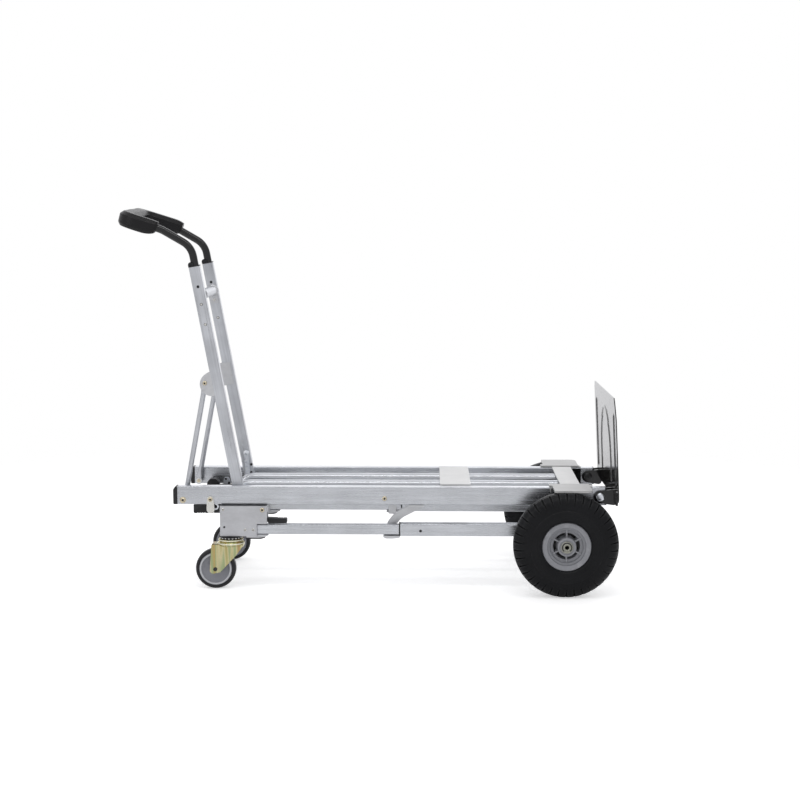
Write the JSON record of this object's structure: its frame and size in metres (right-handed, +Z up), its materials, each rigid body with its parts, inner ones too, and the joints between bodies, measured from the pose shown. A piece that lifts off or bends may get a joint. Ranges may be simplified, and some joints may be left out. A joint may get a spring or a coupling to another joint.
{
  "type": "convertible hand truck",
  "caption": "Aluminium convertible hand truck set as a platform cart, with folding loop handle, hinged toe plate, air-tyred wheels and swivel casters.",
  "frame": {"origin": "centre of the overall bounding box in X and Y, on the floor under the wheels", "axes": "+Z up, +X along the deck from the handle end to the toe plate, +Y to the left of a person standing behind the handle"},
  "size_m": [1.227, 0.548, 0.9304],
  "materials": {
    "extruded_aluminium": "satin mill finish, fine lengthwise drawing lines, brighter edges",
    "matte_plate": "matte off-white cast or etched plate",
    "black_gloss_paint": "gloss black powder coat",
    "black_plastic": "satin black moulded plastic",
    "black_grip": "soft satin black moulded grip",
    "tyre_rubber": "black rubber tyre with shoulder blocks",
    "caster_rubber": "black rubber tread",
    "grey_hub": "mid grey moulded hub",
    "zinc_steel": "bright zinc plate",
    "yellow_zinc": "yellow chromate zinc plate, faintly iridescent",
    "galvanised_sheet": "dull grey folded sheet"
  },
  "bodies": {
    "frame": {"rail_left": "extruded_aluminium", "rail_right": "extruded_aluminium", "rail_cap_left": "black_plastic", "rail_cap_right": "black_plastic", "deck_tube_left": "extruded_aluminium", "deck_tube_right": "extruded_aluminium", "handle_end_bar": "extruded_aluminium", "mid_cross_plate": "matte_plate", "toe_cross_plate": "matte_plate", "toe_end_bar": "extruded_aluminium", "fender_left": "matte_plate", "fender_right": "matte_plate", "axle_bracket_left": "black_gloss_paint", "axle_bracket_right": "black_gloss_paint", "axle": "zinc_steel", "brace_foot_bolt_left": "zinc_steel", "brace_foot_bolt_right": "zinc_steel", "toe_hinge_bolt_left": "zinc_steel", "toe_hinge_bolt_right": "zinc_steel"},
    "toe_plate_body": {"toe_plate": "black_gloss_paint", "toe_bracket_left": "black_gloss_paint", "toe_bracket_right": "black_gloss_paint"},
    "wheel_left": {"tyre_left": "tyre_rubber", "hub_left": "grey_hub"},
    "wheel_right": {"tyre_right": "tyre_rubber", "hub_right": "grey_hub"},
    "braces": {"brace_rod_left": "extruded_aluminium", "brace_rod_right": "extruded_aluminium"},
    "handle": {"upright_left": "extruded_aluminium", "upright_right": "extruded_aluminium", "upright_collar_left": "black_plastic", "upright_collar_right": "black_plastic", "gusset_left": "extruded_aluminium", "gusset_right": "extruded_aluminium", "foot_shoe_left": "black_plastic", "foot_shoe_right": "black_plastic", "handle_loop": "black_gloss_paint", "handle_grip": "black_grip", "handle_cross_bar": "extruded_aluminium"},
    "caster_frame": {"outer_strut_left": "extruded_aluminium", "outer_strut_right": "extruded_aluminium", "stay_arm_left": "extruded_aluminium", "stay_arm_right": "extruded_aluminium"},
    "caster_slide": {"inner_tube_left": "extruded_aluminium", "inner_tube_right": "extruded_aluminium", "caster_housing_left": "galvanised_sheet", "caster_housing_right": "galvanised_sheet", "caster_cross_tube": "extruded_aluminium", "caster_top_plate_left": "zinc_steel", "caster_top_plate_right": "zinc_steel"},
    "lever_left": {"housing_lever_left": "black_plastic"},
    "lever_right": {"housing_lever_right": "black_plastic"},
    "fork_left": {"caster_fork_left": "yellow_zinc"},
    "fork_right": {"caster_fork_right": "yellow_zinc"},
    "caster_wheel_left": {"caster_tyre_left": "caster_rubber", "caster_hub_left": "grey_hub"},
    "caster_wheel_right": {"caster_tyre_right": "caster_rubber", "caster_hub_right": "grey_hub"},
    "release_handle": {"release_yoke": "zinc_steel", "release_grip": "black_plastic"}
  },
  "joints": [
    {"name": "brace_fold", "type": "hinge", "parent": "frame", "child": "braces", "pos_m": [-0.459, 0, 0.2206], "axis": [0, 1, 0], "range_deg": [0, 79.3]},
    {"name": "handle_fold", "type": "hinge", "parent": "braces", "child": "handle", "pos_m": [-0.405, 0, 0.5073], "axis": [0, 1, 0], "range_deg": [-158.6, 0]},
    {"name": "caster_frame_swing", "type": "hinge", "parent": "frame", "child": "caster_frame", "pos_m": [0.48, 0, 0.127], "axis": [0, -1, 0], "range_deg": [0, 45]},
    {"name": "strut_telescope", "type": "slide", "parent": "caster_frame", "child": "caster_slide", "axis": [1, 0, 0], "range_m": [0, 0.12]},
    {"name": "toe_plate_fold", "type": "hinge", "parent": "frame", "child": "toe_plate_body", "pos_m": [0.569, 0, 0.232], "axis": [0, -1, 0], "range_deg": [0, 86]},
    {"name": "release_swing", "type": "hinge", "parent": "frame", "child": "release_handle", "pos_m": [-0.391, 0, 0.2226], "axis": [0, 1, 0], "range_deg": [0, 10], "stiffness_Nm_per_rad": 6, "springref_deg": -8.59},
    {"name": "wheel_left_spin", "type": "hinge", "parent": "frame", "child": "wheel_left", "pos_m": [0.48, 0.235, 0.127], "axis": [0, 1, 0], "continuous": true},
    {"name": "caster_left_swivel", "type": "hinge", "parent": "caster_slide", "child": "fork_left", "pos_m": [-0.3415, 0.161, 0.115], "axis": [0, 0, 1], "continuous": true},
    {"name": "caster_left_spin", "type": "hinge", "parent": "fork_left", "child": "caster_wheel_left", "pos_m": [-0.379, 0.161, 0.05], "axis": [0, 1, 0], "continuous": true},
    {"name": "lever_left_lift", "type": "hinge", "parent": "caster_slide", "child": "lever_left", "pos_m": [-0.258, 0.161, 0.1715], "axis": [0, -1, 0], "range_deg": [0, 10], "stiffness_Nm_per_rad": 0.5, "springref_deg": -8.59},
    {"name": "wheel_right_spin", "type": "hinge", "parent": "frame", "child": "wheel_right", "pos_m": [0.48, -0.235, 0.127], "axis": [0, 1, 0], "continuous": true},
    {"name": "caster_right_swivel", "type": "hinge", "parent": "caster_slide", "child": "fork_right", "pos_m": [-0.3415, -0.161, 0.115], "axis": [0, 0, 1], "continuous": true},
    {"name": "caster_right_spin", "type": "hinge", "parent": "fork_right", "child": "caster_wheel_right", "pos_m": [-0.379, -0.161, 0.05], "axis": [0, 1, 0], "continuous": true},
    {"name": "lever_right_lift", "type": "hinge", "parent": "caster_slide", "child": "lever_right", "pos_m": [-0.258, -0.161, 0.1715], "axis": [0, -1, 0], "range_deg": [0, 10], "stiffness_Nm_per_rad": 0.5, "springref_deg": -8.59}
  ],
  "couplings": [
    {"joint": "handle_fold", "follows": "brace_fold", "ratio": -2}
  ]
}
